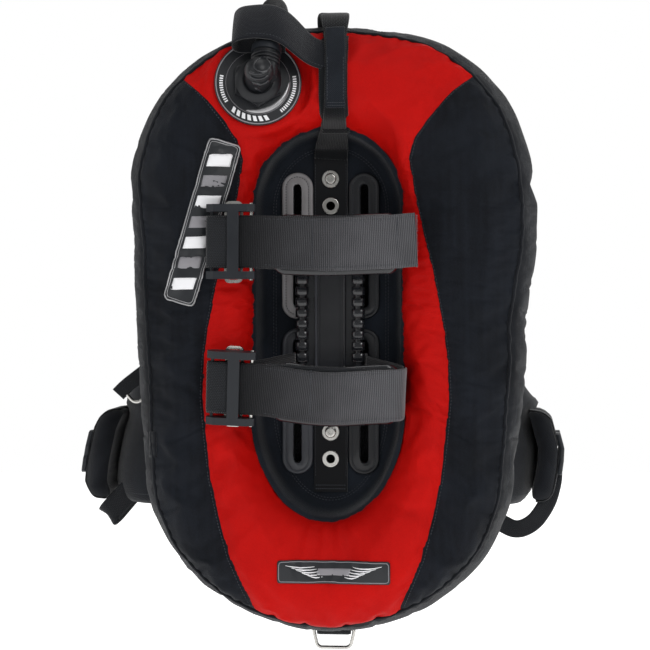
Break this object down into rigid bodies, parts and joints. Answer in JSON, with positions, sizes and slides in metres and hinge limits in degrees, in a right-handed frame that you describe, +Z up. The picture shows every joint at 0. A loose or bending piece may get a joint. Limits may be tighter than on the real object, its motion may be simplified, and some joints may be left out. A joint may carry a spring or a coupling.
{
  "type": "buoyancy compensator vest",
  "caption": "Back-inflation diving vest: ring-shaped air cell with shoulder valve and hose, twin tank bands with cam levers, backplate and padded harness.",
  "frame": {"origin": "inside top of the carrying handle's loop, where the vest hangs from a hook", "axes": "+X the wearer's right, +Y the way the wearer faces, +Z up; the cylinder goes on the -Y side"},
  "size_m": [0.552, 0.3615, 0.7249],
  "materials": {
    "wing_fabric": "coated woven nylon, bright red",
    "black_fabric": "coated woven nylon, black",
    "webbing": "woven nylon webbing, black",
    "pad_fabric": "padded spacer mesh and nylon, black",
    "patch": "moulded rubberised patch with a silver border",
    "bladder_film": "welded polyurethane film",
    "trim_plastic": "moulded grey plastic",
    "plate_plastic": "fibre-filled plastic, black",
    "buckle_plastic": "glass-filled nylon, black",
    "valve_plastic": "moulded plastic, satin black",
    "button_plastic": "grey gloss plastic",
    "rubber": "moulded rubber, black",
    "hose_rubber": "corrugated rubber, black",
    "steel": "polished stainless steel"
  },
  "bodies": {
    "root": {"back_pad": "pad_fabric", "backplate": "plate_plastic", "band_rings": "steel", "bolt_washers": "steel", "bottom_patch": "patch", "buckle_pins": "steel", "carrying_handle": "webbing", "centre_panel": "black_fabric", "centre_strip": "webbing", "chest_buckle_socket": "buckle_plastic", "corrugated_hose": "hose_rubber", "crotch_tab": "webbing", "dump_valve_body": "valve_plastic", "elbow_body": "valve_plastic", "elbow_nut": "valve_plastic", "handle_grip": "webbing", "harness_webbing": "webbing", "hose_clamps": "buckle_plastic", "hose_keeper_strap": "webbing", "inflator_body": "valve_plastic", "lower_band_pad": "rubber", "lower_tank_band": "webbing", "mouthpiece": "rubber", "panel_eyelets": "steel", "plate_bolts": "steel", "plate_nuts": "steel", "quick_connect_nipple": "steel", "ring_tabs": "webbing", "shoulder_buckles": "buckle_plastic", "shoulder_strap_left": "pad_fabric", "shoulder_strap_right": "pad_fabric", "side_patch": "patch", "slot_trim_rings": "trim_plastic", "tank_cradle": "rubber", "upper_band_pad": "rubber", "upper_tank_band": "webbing", "valve_flange": "rubber", "valve_springs": "steel", "waist_belt": "webbing", "waist_buckle_socket": "buckle_plastic", "waist_pad_left": "pad_fabric", "waist_pad_right": "pad_fabric", "wing_bladder": "bladder_film", "wing_shell": "wing_fabric"},
    "upper_lever": {"upper_cam_buckle": "buckle_plastic", "upper_band_roll": "webbing"},
    "lower_lever": {"lower_cam_buckle": "buckle_plastic", "lower_band_roll": "webbing"},
    "inflate_key": {"inflate_button": "button_plastic"},
    "deflate_key": {"deflate_button": "button_plastic"},
    "elbow_dump_disc": {"elbow_valve_disc": "rubber"},
    "rear_dump_knob": {"dump_pull_knob": "button_plastic"},
    "left_pouch": {"weight_pouch_left": "black_fabric"},
    "right_pouch": {"weight_pouch_right": "black_fabric"},
    "waist_tongue": {"waist_buckle_tongue": "buckle_plastic"},
    "chest_tongue": {"chest_buckle_tongue": "buckle_plastic"},
    "crotch_ring": {"crotch_d_ring": "steel"},
    "waist_ring": {"waist_d_ring": "steel"},
    "left_chest_ring": {"shoulder_d_ring_left": "steel"},
    "right_chest_ring": {"shoulder_d_ring_right": "steel"}
  },
  "joints": [
    {"name": "upper_buckle_flip", "type": "hinge", "parent": "root", "child": "upper_lever", "pos_m": [-0.078, -0.08895, -0.24689], "axis": [0, 0.0349, 0.9994], "range_deg": [0, 100]},
    {"name": "lower_buckle_flip", "type": "hinge", "parent": "root", "child": "lower_lever", "pos_m": [-0.07793, -0.08861, -0.40402], "axis": [0.0436, -0.139, 0.9893], "range_deg": [0, 100]},
    {"name": "inflate_press", "type": "slide", "parent": "root", "child": "inflate_key", "axis": [0, -1, 0], "range_m": [0, 0.003], "stiffness_N_per_m": 600},
    {"name": "deflate_press", "type": "slide", "parent": "root", "child": "deflate_key", "axis": [0, 0, 1], "range_m": [0, 0.003], "stiffness_N_per_m": 600},
    {"name": "elbow_dump_pull", "type": "slide", "parent": "root", "child": "elbow_dump_disc", "axis": [-0.1371, 0.9752, -0.1736], "range_m": [0, 0.004], "stiffness_N_per_m": 500},
    {"name": "rear_dump_pull", "type": "slide", "parent": "root", "child": "rear_dump_knob", "axis": [0, 1, 0], "range_m": [0, 0.005], "stiffness_N_per_m": 500},
    {"name": "left_pouch_release", "type": "slide", "parent": "root", "child": "left_pouch", "axis": [0, 1, 0], "range_m": [0, 0.085]},
    {"name": "right_pouch_release", "type": "slide", "parent": "root", "child": "right_pouch", "axis": [0, 1, 0], "range_m": [0, 0.085]},
    {"name": "waist_buckle_release", "type": "slide", "parent": "root", "child": "waist_tongue", "axis": [1, 0, 0], "range_m": [0, 0.034]},
    {"name": "chest_buckle_release", "type": "slide", "parent": "root", "child": "chest_tongue", "axis": [1, 0, 0], "range_m": [0, 0.022]},
    {"name": "crotch_ring_swing", "type": "hinge", "parent": "root", "child": "crotch_ring", "pos_m": [0, 0.0415, -0.68], "axis": [1, 0, 0], "range_deg": [-60, 90]},
    {"name": "waist_ring_swing", "type": "hinge", "parent": "root", "child": "waist_ring", "pos_m": [-0.228, 0.064, -0.398], "axis": [0.867, 0, 0.4983], "range_deg": [-50, 80]},
    {"name": "left_chest_ring_swing", "type": "hinge", "parent": "root", "child": "left_chest_ring", "pos_m": [-0.07994, 0.16407, -0.243], "axis": [0.9703, 0.2419, 0], "range_deg": [0, 150]},
    {"name": "right_chest_ring_swing", "type": "hinge", "parent": "root", "child": "right_chest_ring", "pos_m": [0.07994, 0.16407, -0.243], "axis": [0.9703, -0.2419, 0], "range_deg": [0, 150]}
  ]
}
